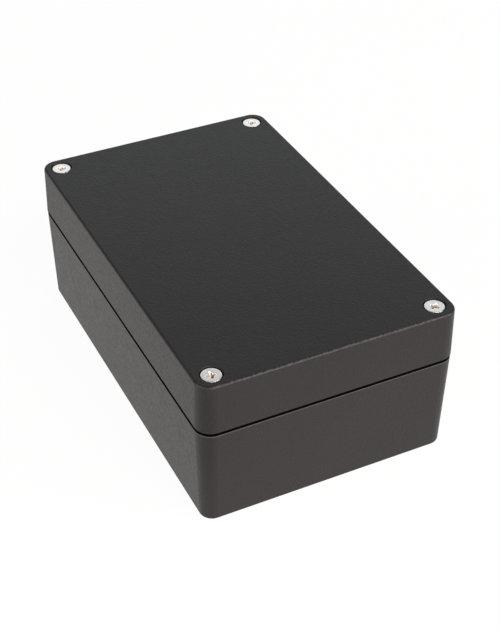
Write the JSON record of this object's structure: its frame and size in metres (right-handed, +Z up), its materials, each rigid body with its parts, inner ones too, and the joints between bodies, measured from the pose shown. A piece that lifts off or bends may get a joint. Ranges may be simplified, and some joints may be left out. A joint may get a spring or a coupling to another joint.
{
  "type": "aluminium enclosure",
  "caption": "Die-cast aluminium box with a deep base, a sealed screw-on lid, captive countersunk screws, corner bays for wall screws and an earth terminal in each half.",
  "frame": {"origin": "middle of the flat bottom face", "axes": "+X along the length, +Y across the width towards the rear, +Z up out of the lid; the earth terminals are at the -X end"},
  "size_m": [0.16, 0.1008, 0.062],
  "materials": {
    "powder_coat": "fine-textured satin black powder coat on die-cast aluminium",
    "seal_rubber": "matte foamed rubber cord",
    "screw_steel": "satin bright steel",
    "retainer_nylon": "natural nylon",
    "zinc_steel": "blue-white zinc plate"
  },
  "bodies": {
    "housing": {"base": "powder_coat", "base_earth_screw": "zinc_steel", "base_earth_lock_washer": "zinc_steel", "base_earth_washer": "zinc_steel"},
    "cover": {"lid": "powder_coat", "lid_gasket": "seal_rubber", "lid_earth_screw": "zinc_steel", "lid_earth_lock_washer": "zinc_steel", "lid_earth_washer": "zinc_steel"},
    "front_left_washer": {"retainer_front_left": "retainer_nylon"},
    "front_left_screw": {"lid_screw_front_left": "screw_steel"},
    "front_right_washer": {"retainer_front_right": "retainer_nylon"},
    "front_right_screw": {"lid_screw_front_right": "screw_steel"},
    "rear_right_washer": {"retainer_rear_right": "retainer_nylon"},
    "rear_right_screw": {"lid_screw_rear_right": "screw_steel"},
    "rear_left_washer": {"retainer_rear_left": "retainer_nylon"},
    "rear_left_screw": {"lid_screw_rear_left": "screw_steel"}
  },
  "joints": [
    {"name": "lid_lift", "type": "slide", "parent": "housing", "child": "cover", "axis": [0, 0, 1], "range_m": [0, 0.08]},
    {"name": "front_left_rise", "type": "slide", "parent": "cover", "child": "front_left_washer", "axis": [0, 0, 1], "range_m": [0, 0.01085]},
    {"name": "front_left_turn", "type": "hinge", "parent": "front_left_washer", "child": "front_left_screw", "pos_m": [-0.07285, -0.04325, 0.0616], "axis": [0, 0, 1], "range_deg": [0, 5581]},
    {"name": "front_right_rise", "type": "slide", "parent": "cover", "child": "front_right_washer", "axis": [0, 0, 1], "range_m": [0, 0.01085]},
    {"name": "front_right_turn", "type": "hinge", "parent": "front_right_washer", "child": "front_right_screw", "pos_m": [0.07285, -0.04325, 0.0616], "axis": [0, 0, 1], "range_deg": [0, 5581]},
    {"name": "rear_right_rise", "type": "slide", "parent": "cover", "child": "rear_right_washer", "axis": [0, 0, 1], "range_m": [0, 0.01085]},
    {"name": "rear_right_turn", "type": "hinge", "parent": "rear_right_washer", "child": "rear_right_screw", "pos_m": [0.07285, 0.04325, 0.0616], "axis": [0, 0, 1], "range_deg": [0, 5581]},
    {"name": "rear_left_rise", "type": "slide", "parent": "cover", "child": "rear_left_washer", "axis": [0, 0, 1], "range_m": [0, 0.01085]},
    {"name": "rear_left_turn", "type": "hinge", "parent": "rear_left_washer", "child": "rear_left_screw", "pos_m": [-0.07285, 0.04325, 0.0616], "axis": [0, 0, 1], "range_deg": [0, 5581]}
  ],
  "couplings": [
    {"joint": "front_left_turn", "follows": "front_left_rise", "rad_per_m": 8976},
    {"joint": "front_right_turn", "follows": "front_right_rise", "rad_per_m": 8976},
    {"joint": "rear_right_turn", "follows": "rear_right_rise", "rad_per_m": 8976},
    {"joint": "rear_left_turn", "follows": "rear_left_rise", "rad_per_m": 8976}
  ]
}
